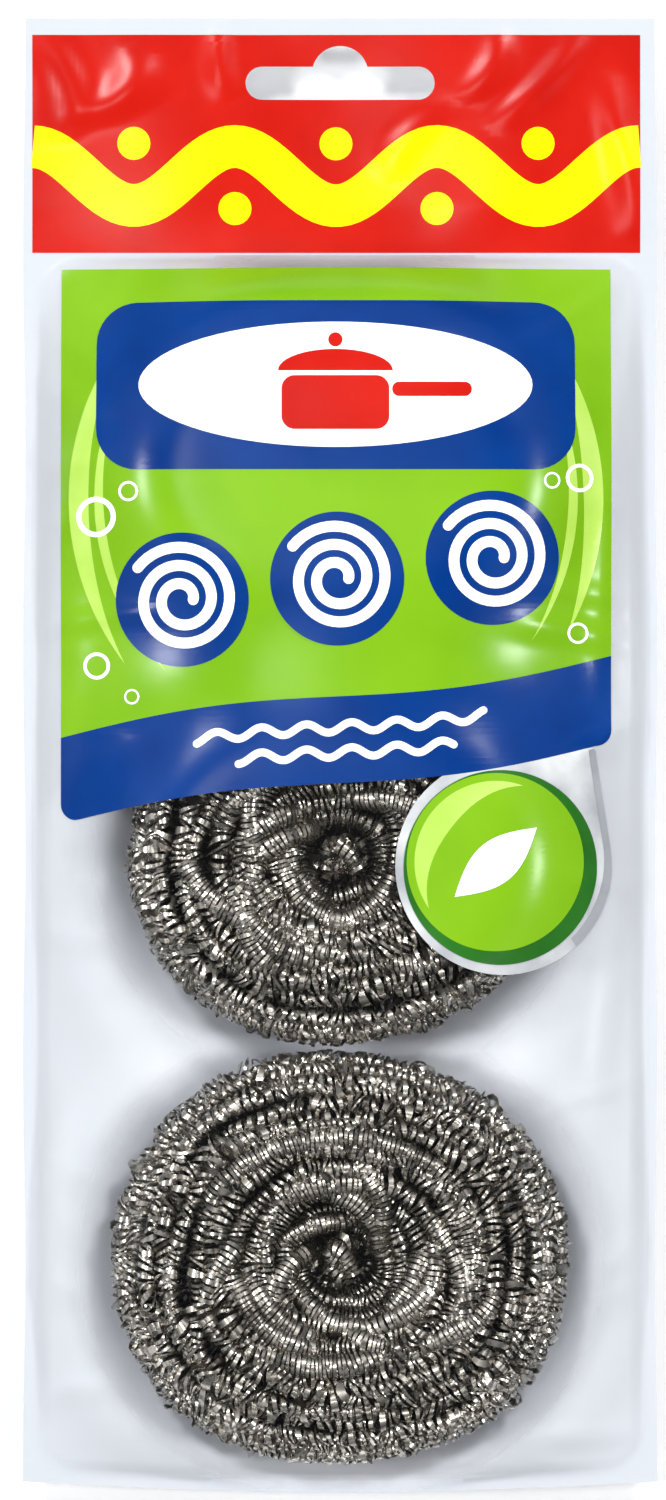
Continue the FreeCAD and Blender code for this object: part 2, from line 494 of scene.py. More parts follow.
def shaped_sheet(name, heights):
    """A grid as large as the bag, with these heights and the bag's bowed bottom edge.

    The looseness is kept on the points as an attribute: 0 where the film is tight, 1 where it is slack.
    """
    bpy.ops.mesh.primitive_grid_add(
        x_subdivisions=len(grid_x) - 1, y_subdivisions=len(grid_y) - 1, size=1
    )
    sheet = bpy.context.object
    sheet.name = name
    bpy.ops.object.mode_set(mode="EDIT")
    bpy.ops.mesh.quads_convert_to_tris(quad_method="FIXED")
    bpy.ops.object.mode_set(mode="OBJECT")
    places = read_points(sheet)
    column = np.rint((places[:, 0] + 0.5) * (len(grid_x) - 1)).astype(int)
    row = np.rint((places[:, 1] + 0.5) * (len(grid_y) - 1)).astype(int)
    across = grid_x[column]
    along = grid_y[row]
    low_part = np.clip((-bow_start - along) / (half_length - bow_start), 0, 1)
    places[:, 0] = across + edge_ripple(across, along)
    places[:, 1] = along + bottom_bow * (across / half_width) ** 2 * low_part**2
    places[:, 2] = heights[row, column]
    move_points(sheet, places)
    loose = sheet.data.attributes.new("looseness", "FLOAT", "POINT")
    loose.data.foreach_set("value", looseness[row, column])
    return sheet


film_thickness = 0.06
weld_gap = 0.02
front_surface = weld_height + weld_gap + film_thickness + front_height + wave
back_surface = weld_height - back_height + wave
print("front film top", round(float(front_surface.max()), 2))


# %% Cut a sheet along an outline
wall_height = 40
wall_slope = 0.1


def select_only(piece):
    bpy.ops.object.select_all(action="DESELECT")
    piece.select_set(True)
    bpy.context.view_layer.objects.active = piece


def enclosed(outline, x, y):
    """True for each point that the outline encloses."""
    inside = np.zeros(len(x), bool)
    for (ax, ay), (bx, by) in zip(outline, np.roll(outline, -1, axis=0)):
        if ay != by:
            inside ^= ((ay > y) != (by > y)) & (x < ax + (bx - ax) * (y - ay) / (by - ay))
    return inside


def face_places(mesh):
    """The middle of each face, in millimetres, and the upward part of its normal."""
    middles = np.empty(len(mesh.polygons) * 3)
    normals = np.empty(len(mesh.polygons) * 3)
    mesh.polygons.foreach_get("center", middles)
    mesh.polygons.foreach_get("normal", normals)
    return middles.reshape(-1, 3) / MM, normals.reshape(-1, 3)[:, 2]


def cut_out(sheet, outline):
    """Cuts a sheet with upright walls on the outline, then deletes the walls and what they enclose."""
    count = len(outline)
    edges = [(i, (i + 1) % count) for i in range(count)]
    mesh = bpy.data.meshes.new("outline")
    mesh.from_pydata([(x * MM, y * MM, 0) for x, y in outline], edges, [])
    walls = bpy.data.objects.new("outline", mesh)
    bpy.context.collection.objects.link(walls)
    select_only(walls)
    bpy.ops.object.mode_set(mode="EDIT")
    bpy.ops.mesh.select_mode(type="VERT")
    bpy.ops.mesh.select_all(action="SELECT")
    bpy.ops.mesh.extrude_region_move(TRANSFORM_OT_translate={"value": (0, 0, wall_height * MM)})
    bpy.ops.mesh.select_mode(type="FACE")
    bpy.ops.object.mode_set(mode="OBJECT")
    sheet.data.polygons.foreach_set("select", [False] * len(sheet.data.polygons))
    walls.data.polygons.foreach_set("select", [True] * len(walls.data.polygons))
    select_only(sheet)
    walls.select_set(True)
    bpy.ops.object.join()
    bpy.ops.object.mode_set(mode="EDIT")
    bpy.ops.mesh.intersect(mode="SELECT_UNSELECT", separate_mode="NONE", solver="EXACT")
    bpy.ops.object.mode_set(mode="OBJECT")
    middles, upward = face_places(sheet.data)
    within = enclosed(outline, middles[:, 0], middles[:, 1])
    select_only(sheet)
    sheet.data.polygons.foreach_set("select", within | (np.abs(upward) < wall_slope))
    bpy.ops.object.mode_set(mode="EDIT")
    bpy.ops.mesh.delete(type="FACE")
    bpy.ops.object.mode_set(mode="OBJECT")


# %% Outlines
def oval(centre, wide, high, turns):
    """Points round an oval, at these angles in radians. Its half width and height may change on the way."""
    across = np.broadcast_to(wide, len(turns))
    along = np.broadcast_to(high, len(turns))
    x, y = centre
    return [(x + a * math.cos(t), y + b * math.sin(t)) for a, b, t in zip(across, along, turns)]


def arc(centre, radius, start, end, count=24):
    """Points along an arc, its angles in degrees."""
    return oval(centre, radius, radius, np.radians(np.linspace(start, end, count)))


def circle(centre, radius):
    count = max(24, int(radius * 8))
    return arc(centre, radius, 0, 360 - 360 / count, count)


slot_width = 32.0
slot_height = 5.6
slot_drop = 11.0
crown_radius = 4.8
crown_rise = 1.5
slot_y = half_length - slot_drop
slot_end = slot_width / 2 - slot_height / 2
crown_foot = math.degrees(math.asin((slot_height / 2 - crown_rise) / crown_radius))
slot_outline = arc((slot_end, slot_y), slot_height / 2, -90, 90)
slot_outline += arc((0, slot_y + crown_rise), crown_radius, crown_foot, 180 - crown_foot)
slot_outline += arc((-slot_end, slot_y), slot_height / 2, 90, 270)
print("hang slot outline of", len(slot_outline), "points")


# %% Make the two films
smooth_angle = math.radians(60)


def give_thickness(piece, thickness):
    """Thickens a sheet downwards from its upper face."""
    select_only(piece)
    modifier = piece.modifiers.new("thickness", "SOLIDIFY")
    modifier.thickness = thickness * MM
    modifier.offset = -1
    bpy.ops.object.modifier_apply(modifier=modifier.name)
    bpy.ops.object.shade_smooth_by_angle(angle=smooth_angle)


front_film = shaped_sheet("clear_front_film", front_surface)
back_film = shaped_sheet("milky_back_film", back_surface)
for film in (front_film, back_film):
    cut_out(film, slot_outline)
    give_thickness(film, film_thickness)
    print(film.name, len(film.data.polygons), "faces")

# %% [markdown]
# ## Film materials
# Both films are polypropylene, cast smooth. The front one is clear: it lets light straight through and
# mirrors a little, more where it slopes away. The back one is milky, so it shows soft shadows.

# %% Ripples of cast film
film_ior = 1.3
ripple_size = 9
ripple_depth = 0.4
ripple_strength = 0.12


def film_ripple(tree, place):
    """The normal of cast film: faint soft ripples, which make its highlights waver."""
    ripple = add_node(tree, "TexNoise", pattern(place, ripple_size, 3.0))
    bump = add_node(
        tree,
        "Bump",
        {"Height": ripple, "Strength": ripple_strength, "Distance": ripple_depth * MM},
    )
    return bump


print("ripples", ripple_size, "mm wide")

# %% Clear film
# Tight film all but vanishes. Slack film stands off what is behind it, so it looks hazy and shines.
film_roughness = 0.27
most_mirrored = 0.12
shine_range = {"To Min": 0.05, "To Max": 0.6}
haze_range = {"To Min": 0.001, "To Max": 0.46}
clear_film, tree = new_material("clear_cast_polypropylene")
place = add_node(tree, "TexCoord")
normal = film_ripple(tree, place)
through = add_node(tree, "BsdfTransparent", {"Color": linear("#FFFFFF")})
gloss = add_node(
    tree,
    "BsdfGlossy",
    {"Roughness": film_roughness, "Normal": normal, "Color": linear("#FFFFFF")},
)
slope = add_node(tree, "Fresnel", {"IOR": film_ior, "Normal": normal})
mirrored = add_node(tree, "Math", {0: slope, 1: most_mirrored}, operation="MINIMUM")
loose = add_node(tree, "Attribute", attribute_name="looseness")
share = add_node(tree, "MapRange", {"Value": loose.outputs["Fac"], **shine_range})
shine = add_node(tree, "Math", {0: mirrored, 1: share}, operation="MULTIPLY")
sheen = add_node(tree, "MixShader", {0: shine, 1: through, 2: gloss})
milk = add_node(tree, "BsdfDiffuse", {"Color": linear("#DFE3E9")})
haze = add_node(tree, "MapRange", {"Value": loose.outputs["Fac"], **haze_range})
film = add_node(tree, "MixShader", {0: haze, 1: sheen, 2: milk})
add_node(tree, "OutputMaterial", {"Surface": film})
front_film.data.materials.append(clear_film)
print(clear_film.name)

# %% Milky film
# Milky film is nearly white, with faint clouds in its tone and a shine that is dull in patches.
cloud_size = 40
grain_size = 3
milky_film, tree = new_material("milky_cast_polypropylene")
place = add_node(tree, "TexCoord")
cloud = add_node(tree, "TexNoise", pattern(place, cloud_size, 2.0))
tones = [(0.3, "#D5D9E1"), (0.7, "#E2E5EB")]
shade = add_node(tree, "ValToRGB", {"Fac": cloud}, tones)
grain = add_node(tree, "TexNoise", pattern(place, grain_size, 2.0))
dull = add_node(tree, "MapRange", {"Value": grain, "To Min": 0.45, "To Max": 0.6})
shader = add_node(tree, "BsdfPrincipled", {"Base Color": shade, "Roughness": dull, "IOR": film_ior})
add_node(tree, "OutputMaterial", {"Surface": shader})
back_film.data.materials.append(milky_film)
print(milky_film.name)

# %% Fix the films to the bag
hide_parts("front_film")
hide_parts("back_film")
for film, slot in ((front_film, "clear_film"), (back_film, "pale_film")):
    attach(film, "bag")
    print(film.name, "rides on the bag")

# %% [markdown]
# ## The print
# The ink lies on the film and follows every fold of it. Each colour starts as a flat curve, filled
# inside its outlines. It is then cut along the edges of the film's triangles, so that it can bend where
# the film bends, and laid on the film a hair above it. The motifs are plain shapes: waves, bubbles, spirals
# and a pot.

# %% Ink material
def printed_ink(name, colour, deep_colour, patch):
    """Gravure ink under gloss film: an even colour with faint mottling and a sharp shine."""
    material, tree = new_material(name)
    place = add_node(tree, "TexCoord")
    mottle = add_node(tree, "TexNoise", pattern(place, patch, 4.0))
    tones = [(0.25, deep_colour), (0.65, colour)]
    ramp = add_node(tree, "ValToRGB", {"Fac": mottle}, tones)
    dull = add_node(tree, "MapRange", {"Value": mottle, "To Min": 0.19, "To Max": 0.25})
    shader = add_node(
        tree,
        "BsdfPrincipled",
        {
            "Base Color": ramp,
            "Roughness": dull,
            "IOR": film_ior,
            "Normal": film_ripple(tree, place),
        },
    )
    add_node(tree, "OutputMaterial", {"Surface": shader})
    return material


ink_tones = {
    # name: colour, deeper colour, size of the mottled patches
    "red": ("#C41A0D", "#B6130A", 14),
    "yellow": ("#FFF000", "#FBE400", 14),
    "green": ("#7DB31A", "#6FA611", 26),
    "pale_green": ("#B9DC6A", "#A6D04A", 14),
    "blue": ("#013883", "#002E74", 14),
    "white": ("#FFFFFF", "#F3F5F8", 14),
    "silver": ("#D4D7D9", "#8D9299", 12),
    "dark_green": ("#2C7024", "#1C5A16", 14),
    "grey": ("#A7ABB0", "#85898F", 14),
}
inks = {name: printed_ink(name + "_gravure_ink", *tones) for name, tones in ink_tones.items()}
print(len(inks), "inks")

# %% Lay ink on the film
ink_step = 0.05
merge_distance = 0.001


def film_heights(surface, x, y):
    """A film's height at these places, on the triangles that each cell of its grid is cut into."""
    column = (x - edge_ripple(x, y) + half_width) / bag_width * (len(grid_x) - 1)
    row = (y + half_length) / bag_length * (len(grid_y) - 1)
    left = column.astype(int)
    low = row.astype(int)
    right_share = column - left
    high_share = row - low
    near = surface[low, left]
    far = surface[low + 1, left + 1]
    right_corner = surface[low, left + 1]
    left_corner = surface[low + 1, left]
    under = near + right_share * (right_corner - near) + high_share * (far - right_corner)
    over = near + high_share * (left_corner - near) + right_share * (far - left_corner)
    return np.where(right_share > high_share, under, over)


def filled_outline(name, loops):
    """A flat mesh, in millimetres, of what an odd number of the outlines encloses."""
    outline = bpy.data.curves.new(name, "CURVE")
    outline.dimensions = "2D"
    outline.fill_mode = "BOTH"
    for loop in loops:
        spline = outline.splines.new("POLY")
        spline.points.add(len(loop) - 1)
        for point, (x, y) in zip(spline.points, loop):
            point.co = (x, y, 0, 1)
        spline.use_cyclic_u = True
    piece = bpy.data.objects.new(name, outline)
    bpy.context.collection.objects.link(piece)
    select_only(piece)
    bpy.ops.object.convert(target="MESH")
    return bpy.context.object


def lay_ink(name, loops, layer, colour):
    """Prints one colour inside the outlines, lifted above the film by its layer."""
    piece = filled_outline(name, loops)
    corners = np.concatenate([np.array(loop) for loop in loops])
    bpy.ops.object.mode_set(mode="EDIT")
    bpy.ops.mesh.select_all(action="SELECT")
    bpy.ops.mesh.remove_doubles(threshold=merge_distance)
    across_cell = grid_x[1] - grid_x[0]
    along_cell = grid_y[1] - grid_y[0]
    columns = (corners[:, 0] - grid_x[0]) / across_cell
    rows = (corners[:, 1] - grid_y[0]) / along_cell
    for upright, level in ((1, 0), (0, 1), (1, -1)):
        cells = upright * columns + level * rows
        for line in range(math.ceil(cells.min()), math.ceil(cells.max())):
            if upright:
                point = (grid_x[0] + line * across_cell, grid_y[0], 0)
            else:
                point = (grid_x[0], grid_y[0] + line * along_cell, 0)
            bpy.ops.mesh.select_all(action="SELECT")
            bpy.ops.mesh.bisect(plane_co=point, plane_no=(upright / across_cell, level / along_cell, 0))
    bpy.ops.object.mode_set(mode="OBJECT")
    places = read_points(piece)
    places[:, 2] = film_heights(front_surface, places[:, 0], places[:, 1]) + (layer + 1) * ink_step
    move_points(piece, places)
    if face_places(piece.data)[1].mean() < 0:
        piece.data.flip_normals()
    give_thickness(piece, ink_step / 2)
    piece.data.materials.append(inks[colour])
    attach(piece, "bag")
    print(name, len(piece.data.polygons), "faces")


# %% Header
header_print = [(-52.1, 85.0), (50.8, 85.0), (50.8, 121.9), (-52.1, 121.9)]
lay_ink("header_red", [header_print, slot_outline], 0, "red")


def stripe(line, half_thickness, round_ends=True):
    """The outline of a band of even thickness round a line."""
    line = np.array(line)
    along = np.gradient(line, axis=0)
    across = np.stack([-along[:, 1], along[:, 0]], axis=1)
    across *= half_thickness / np.hypot(*along.T)[:, None]
    heading = np.degrees(np.arctan2(along[:, 1], along[:, 0]))
    left_side = [tuple(p) for p in line + across]
    right_side = [tuple(p) for p in (line - across)[::-1]]
    if not round_ends:
        return left_side + right_side
    far_cap = arc(line[-1], half_thickness, heading[-1] + 90, heading[-1] - 90, 9)
    near_cap = arc(line[0], half_thickness, heading[0] - 90, heading[0] - 270, 9)
    return left_side + far_cap[1:-1] + right_side + near_cap[1:-1]


wave_start = -52.0
wave_end = 50.7
wave_length = 34.2
wave_middle = 98.0
wave_rise = 5.0
wave_half = 3.6
dot_rise = 5.5
dot_radius = 2.8
header_wave_line = []
for x in np.linspace(wave_start, wave_end, 100):
    turn = (x - wave_start) / wave_length * 2 * math.pi
    header_wave_line.append((x, wave_middle + wave_rise * math.cos(turn)))
crests = [wave_start + wave_length * (i + 1) / 2 for i in range(5)]
dots = [circle((x, wave_middle + dot_rise * (-1) ** i), dot_radius) for i, x in enumerate(crests)]
lay_ink("header_wave", [stripe(header_wave_line, wave_half, False)] + dots, 1, "yellow")

# %% Label panel and band
label_left = -47.1
label_right = 45.7
label_top = 82.1
edge_middle = 9.9
edge_slant = 0.149
edge_wave = 1.5
band_height = 14.5
band_corner = 2.6
panel_overlap = 5


def label_edge(x):
    """The lower edge of the green panel: a slanting wave."""
    turn = (x - label_left) / (label_right - label_left) * 2 * math.pi
    return edge_middle + edge_slant * x + edge_wave * math.sin(turn)


edge_x = np.linspace(label_left, label_right, 60)
panel = [(x, label_edge(x) - panel_overlap) for x in edge_x]
panel += [(label_right, label_top), (label_left, label_top)]
lay_ink("label_green", [panel], 0, "green")

right_corner = label_right - band_corner
left_corner = label_left + band_corner
band = [(x, label_edge(x)) for x in edge_x]
right_y = label_edge(right_corner) - band_height + band_corner
band += arc((right_corner, right_y), band_corner, 0, -75, 8)
under_x = edge_x[(edge_x > left_corner) & (edge_x < right_corner)]
band += [(x, label_edge(x) - band_height) for x in under_x[::-1]]
left_y = label_edge(left_corner) - band_height + band_corner
band += arc((left_corner, left_y), band_corner, -95, -180, 8)
lay_ink("label_blue_band", [band], 2, "blue")

# %% Ripples on the band
band_ripples = [
    # start, end, drop under the band's upper edge
    (-24.0, 24.0, 5.2),
    (-17.0, 19.0, 9.4),
]
ripple_rise = 0.8
ripple_length = 1.2
ripple_half = 0.65
ripples = []
for start, end, drop in band_ripples:
    line_x = np.linspace(start, end, 90)
    line = [(x, label_edge(x) - drop + ripple_rise * math.sin(x / ripple_length)) for x in line_x]
    ripples.append(stripe(line, ripple_half))
lay_ink("label_band_ripples", ripples, 3, "white")

# %% Motifs on the label
bubble_hole = 0.74


def rounded_box(left, low, right, high, radius):
    outline = arc((right - radius, low + radius), radius, -90, 0, 10)
    outline += arc((right - radius, high - radius), radius, 0, 90, 10)
    outline += arc((left + radius, high - radius), radius, 90, 180, 10)
    return outline + arc((left + radius, low + radius), radius, 180, 270, 10)


def swoosh(centre, radius, thickness, start, end):
    """A crescent that is thickest in the middle."""
    share = np.linspace(0, 1, 40)
    outer = arc(centre, radius, start, end, 40)
    thin = radius - thickness * np.sin(math.pi * share)
    turns = np.radians(start + (end - start) * share)
    return outer + oval(centre, thin, thin, turns)[-2:0:-1]


label_middle = (-0.7, 43.0)
swooshes = [
    swoosh(label_middle, 45.0, 3.4, 142, 218),
    swoosh(label_middle, 40.6, 1.6, 150, 226),
    swoosh(label_middle, 45.0, 3.4, -30, 36),
    swoosh(label_middle, 40.6, 1.6, -36, 28),
]
lay_ink("label_swooshes", swooshes, 1, "pale_green")
bubble_places = [
    (-41.0, 40.0, 3.4),
    (-35.5, 44.2, 1.7),
    (40.2, 46.5, 2.4),
    (35.5, 46.0, 1.4),
    (-41.0, 15.0, 2.3),
    (-35.0, 9.8, 1.3),
    (40.0, 20.5, 1.8),
]
bubbles = []
for x, y, radius in bubble_places:
    bubbles += [circle((x, y), radius), circle((x, y), radius * bubble_hole)]
lay_ink("label_bubbles", bubbles, 2, "white")
plate = rounded_box(-41.0, 47.8, 39.5, 76.2, 7.0)
lay_ink("label_plate", [plate], 2, "blue")
plate_oval = oval((-0.8, 62), 33, 10.5, np.linspace(0, 2 * math.pi, 72)[:-1])
lay_ink("label_oval", [plate_oval], 3, "white")

# %% Pot motif
pot_body = rounded_box(-9.8, 54.5, 8.2, 63.5, 2.2)
pot_handle = rounded_box(8.7, 60.0, 22.0, 62.4, 1.15)
pot_lid = oval((-0.8, 64.3), 9.6, 3.6, np.linspace(0, math.pi, 24))
pot_knob = circle((-0.8, 69.5), 1.2)
lay_ink("label_pot", [pot_body, pot_handle, pot_lid, pot_knob], 4, "red")

# %% Spiral motifs
disc_radius = 11.2
spiral_half = 0.9


def spiral(centre, inner, outer, turns):
    angles = np.linspace(0, 2 * math.pi * turns, 120)
    radii = np.linspace(inner, outer, 120)
    return oval(centre, radii, radii, angles)


spiral_places = [(-26.5, 26.0), (-0.5, 29.5), (25.5, 33.0)]
lay_ink("label_discs", [circle(place, disc_radius) for place in spiral_places], 2, "blue")
spirals = [stripe(spiral(place, 1.9, 9.2, 2.4), spiral_half) for place in spiral_places]
lay_ink("label_spirals", spirals, 3, "white")

# %% Badge
badge = (27.5, -18.5)
badge_radius = 18.3
badge_tip = (badge[0] + 14.8, badge[1] + 19.0)
tip_radius = 0.7
badge_outline = arc(badge, badge_radius, 100, 365, 80) + arc(badge_tip, tip_radius, 5, 95, 6)
lay_ink("badge_silver", [badge_outline], 1, "silver")
shade_inside = arc((badge[0] - 1.3, badge[1] + 0.9), badge_radius, -48, 5, 30)
shade_tip = (badge_tip[0] - 0.5, badge_tip[1] + 0.3)
badge_shade = arc(badge, badge_radius, -48, 5, 30) + arc(badge_tip, tip_radius, 5, 60, 4)
badge_shade += [shade_tip] + shade_inside[:0:-1]
lay_ink("badge_shade", [badge_shade], 3, "grey")
badge_disc = (26.9, -18.8)
badge_middle = (badge_disc[0] - 0.9, badge_disc[1] + 0.9)
lay_ink("badge_dark_green", [circle(badge_disc, 16.3)], 4, "dark_green")
lay_ink("badge_green", [circle(badge_middle, 14.9)], 5, "green")
lay_ink("badge_glow", [swoosh(badge_middle, 13.6, 4.2, 70, 215)], 6, "pale_green")

# %% Leaf
leaf_turn = math.radians(40)
leaf_half = 9
leaf_width = 3.6
leaf_side = []
for t in np.linspace(-leaf_half, leaf_half, 24):
    leaf_side.append((t, leaf_width * math.sin(math.pi * (t + leaf_half) / (2 * leaf_half))))
leaf = []
for t, h in leaf_side + [(t, -h) for t, h in leaf_side[-2:0:-1]]:
    x = badge_middle[0] + t * math.cos(leaf_turn) - h * math.sin(leaf_turn)
    y = badge_middle[1] + t * math.sin(leaf_turn) + h * math.cos(leaf_turn)
    leaf.append((x, y))
lay_ink("badge_leaf", [leaf], 7, "white")

# %% [markdown]
# ## The scrubbers
# A scrubber is one long coil of flat wire, wound round and round into a ring. The wire's section is
# modelled as a small rectangle, the Screw modifier winds it into a straight coil, and the Curve
# modifier lays the coil along its route. In between, the coil is loosened: loops lean, swell and
# bunch up, as they do when the wire comes off the winding machine.

# %% Straight coil
wire_width = 0.48
wire_thickness = 0.14
wire_corners = 4
loop_steps = 10


def straight_coil(name, loops, pitch, radius):
    """A coil of flat wire along X."""
    bpy.ops.mesh.primitive_plane_add(size=1)
    coil = bpy.context.object
    coil.name = name
    bpy.ops.object.mode_set(mode="EDIT")
    bpy.ops.mesh.delete(type="ONLY_FACE")
    bpy.ops.mesh.select_all(action="SELECT")
    bpy.ops.transform.resize(value=(wire_width * MM, wire_thickness * MM, 1))
    bpy.ops.transform.translate(value=(0, (radius - wire_thickness / 2) * MM, 0))
    bpy.ops.object.mode_set(mode="OBJECT")
    screw = coil.modifiers.new("winding", "SCREW")
    screw.axis = "X"
    screw.angle = 2 * math.pi
    screw.screw_offset = pitch * MM
    screw.steps = loop_steps
    screw.render_steps = loop_steps
    screw.iterations = loops
    screw.use_smooth_shade = True
    bpy.ops.object.modifier_apply(modifier=screw.name)
    bpy.ops.object.mode_set(mode="EDIT")
    bpy.ops.mesh.select_mode(type="EDGE")
    bpy.ops.mesh.select_all(action="DESELECT")
    bpy.ops.mesh.select_non_manifold(extend=False)
    bpy.ops.mesh.edge_face_add()
    bpy.ops.mesh.select_all(action="SELECT")
    bpy.ops.mesh.normals_make_consistent(inside=False)
    bpy.ops.object.mode_set(mode="OBJECT")
    bpy.ops.object.shade_smooth_by_angle(angle=smooth_angle)
    return coil


# %% Loosen a coil
tightening = 0.45
taper = 0.3
loop_swell = 0.26
slow_swell = 0.08
stray_swell = 1.6
stray_limit = 0.5
bunching = 1.2
straying = 0.4


def drift(chance, along, step, size):
    """A smooth random value along a length, with a new target every step."""
    knots = int(np.ptp(along) / step) + 4
    targets = chance.uniform(-size, size, knots)
    at = (along - along.min()) / step + 0.5
    left = at.astype(int)
    share = ease(at - left)
    return targets[left] * (1 - share) + targets[left + 1] * share


def loosen(coil, length, disorder, lean, seed):
    """Spreads the loops unevenly to fill the length.

    disorder is how loose the coil is at its start and at its end, from 0 to 1.
    """
    chance = np.random.RandomState(seed)
    places = read_points(coil) / MM
    along = places[:, 0]
    share = (along - along.min()) / np.ptp(along)
    loosening = disorder[1] - disorder[0]
    loose = disorder[0] + loosening * share
    tight = 1 - tightening * loosening
    pitch = np.ptp(along) / (len(along) / wire_corners / loop_steps)
    swell = 1 + drift(chance, along, 1.3 * pitch, loop_swell) * loose
    swell = swell + drift(chance, along, 9 * pitch, slow_swell)
    swell = swell * (1 - taper * loosening * np.sqrt(share))
    stray = np.maximum(drift(chance, along, 0.8 * pitch, 1.0) - stray_limit, 0)
    swell = swell + stray_swell * stray * loose**2
    across = places[:, 1] * swell
    upward = places[:, 2] * swell
    lean_across = drift(chance, along, 1.7 * pitch, lean) * loose
    lean_upward = drift(chance, along, 1.7 * pitch, lean) * loose
    spread = length * (tight * share + (1 - tight) * share**2)
    spread = spread + drift(chance, along, 7 * pitch, bunching * pitch) * loose
    places[:, 0] = spread + across * lean_across + upward * lean_upward
    places[:, 1] = across + drift(chance, along, 4 * pitch, straying) * loose
    places[:, 2] = upward + drift(chance, along, 4 * pitch, straying) * loose
    move_points(coil, places)


# %% Lay a coil along a route
def laid_strand(name, route, pitch, radius, disorder, lean, seed):
    """A loosened coil that follows the route, a list of points in millimetres."""
    line = bpy.data.curves.new(name + "_route", "CURVE")
    line.dimensions = "3D"
    spline = line.splines.new("NURBS")
    spline.points.add(len(route) - 1)
    for point, (x, y, z) in zip(spline.points, route):
        point.co = (x * MM, y * MM, z * MM, 1)
    spline.order_u = 4
    spline.use_endpoint_u = True
    spline.resolution_u = 6
    guide = bpy.data.objects.new(line.name, line)
    bpy.context.collection.objects.link(guide)
    length = spline.calc_length() / MM
    coil = straight_coil(name, int(length / pitch), pitch, radius)
    loosen(coil, length, disorder, lean, seed)
    bend = coil.modifiers.new("route", "CURVE")
    bend.object = guide
    bend.deform_axis = "POS_X"
    bpy.ops.object.modifier_apply(modifier=bend.name)
    bpy.data.objects.remove(guide)
    print(name, round(length), "mm,", int(length / pitch), "loops,", len(coil.data.polygons), "faces")
    return coil


# %% Routes round a ring
points_per_turn = 20
drift_step = 1.8
eye_wander = 0.5
rim_wander = 0.42
eye_depth = 1.4
eye_slope = (95, 145)
wide_dent = 0.01
narrow_dent = 0.007
wander_angles = (90, 170)
section_steps = 721
row_steps = 400
seed_turn = 77
oblong_reach = 1.6
# A NURBS curve runs a little inside its points. On a circle it keeps this share of the radius.
spline_shrink = (2 + math.cos(2 * math.pi / points_per_turn)) / 3


def on_ring(ring, section, turn, inset):
    """Points on the ring: section is the angle round its oval section, turn the angle round its eye."""
    radius = ring.section_radius + (ring.section_reach - inset) * np.cos(section)
    height = ring.middle + (ring.section_rise - inset) * np.sin(section)
    wide = wide_dent * np.sin(3 * turn + ring.y)
    narrow = narrow_dent * np.sin(5 * turn + 2 * ring.y)
    radius = radius * (1 + wide + narrow) / spline_shrink
    oblong = np.clip((radius - eye_radius) / (ring.section_reach * oblong_reach), 0, 1)
    along_run = ring.half_run * oblong * np.clip(oblong_reach * np.cos(turn), -1, 1)
    return list(zip(radius * np.cos(turn) + along_run, ring.y + radius * np.sin(turn), height))


def wound_route(ring, start, end, rows, inset, wobble, seed):
    """Turns over the ring's oval section; angles run from 180 at the eye over the front to -180.

    rows is the distance from one turn to the next, at the start and at the end.
    """
    chance = np.random.RandomState(seed)
    angles = np.radians(np.linspace(180, -180, section_steps))
    reach = ring.section_reach - inset
    rise = ring.section_rise - inset
    steps = np.hypot(np.diff(reach * np.cos(angles)), np.diff(rise * np.sin(angles)))
    girth = np.concatenate([[0], np.cumsum(steps)])
    first, last = np.interp(np.radians([-start, -end]), -angles, girth)
    across = np.linspace(first, last, row_steps)
    row = np.linspace(rows[0], rows[1], row_steps)
    turn_at = np.concatenate([[0], np.cumsum(np.diff(across) / row[1:])])
    turns = turn_at[-1]
    count = int(turns * points_per_turn)
    share = np.linspace(0, 1, count)
    at = np.interp(share * turns, turn_at, across)
    angle = np.interp(at, girth, angles)
    wander = np.interp(angle, np.radians(wander_angles), [rim_wander, eye_wander])
    off_row = drift(chance, share * count, drift_step, 1) * wander
    at = at + off_row * np.linspace(rows[0], rows[1], count)
    section = np.interp(np.clip(at, 0, girth[-1]), girth, angles)
    sink = drift(chance, share * count, drift_step, wobble / 2) + wobble / 2
    near_eye = (np.degrees(section) - eye_slope[0]) / (eye_slope[1] - eye_slope[0])
    sink = sink + eye_depth * np.clip(near_eye, 0, 1)
    turn = 2 * math.pi * turns * share + math.radians(seed * seed_turn)
    return on_ring(ring, section, turn, inset + sink)


# %% Routes of loose stretches
crossing_points = 7
crossing_band = (60, 112)
crossing_slant = 26
crossing_length = 34
crossing_dive = 2.4
crossing_rise = 0.3
hose_span = (0.9, 2.2)
hose_step = 0.3
hose_slant = 6.5
hose_dive = 3.4
hose_sink = (-0.2, 0.7)
tuck_points = 22
tuck_reach = 3.0
tuck_wander = 0.8
tuck_across = 1.9
tuck_along = 1.3
tuck_foot = 6.0
tuck_drop = 0.9


def crossing_route(ring, chance):
    """A stretch that has slipped out of its row and lies slantwise over the others on the front."""
    start = chance.uniform(*crossing_band)
    end = start + chance.uniform(-crossing_slant, crossing_slant)
    section = np.radians(np.linspace(start, end, crossing_points))
    radius = ring.section_radius + ring.section_reach * math.cos(section[0])
    span = chance.uniform(0.5, 1) * crossing_length / radius
    turn = chance.uniform(0, 2 * math.pi) + np.linspace(0, span, crossing_points)
    dive = crossing_dive * np.abs(np.linspace(-1, 1, crossing_points)) ** 3
    return on_ring(ring, section, turn, dive - crossing_rise)


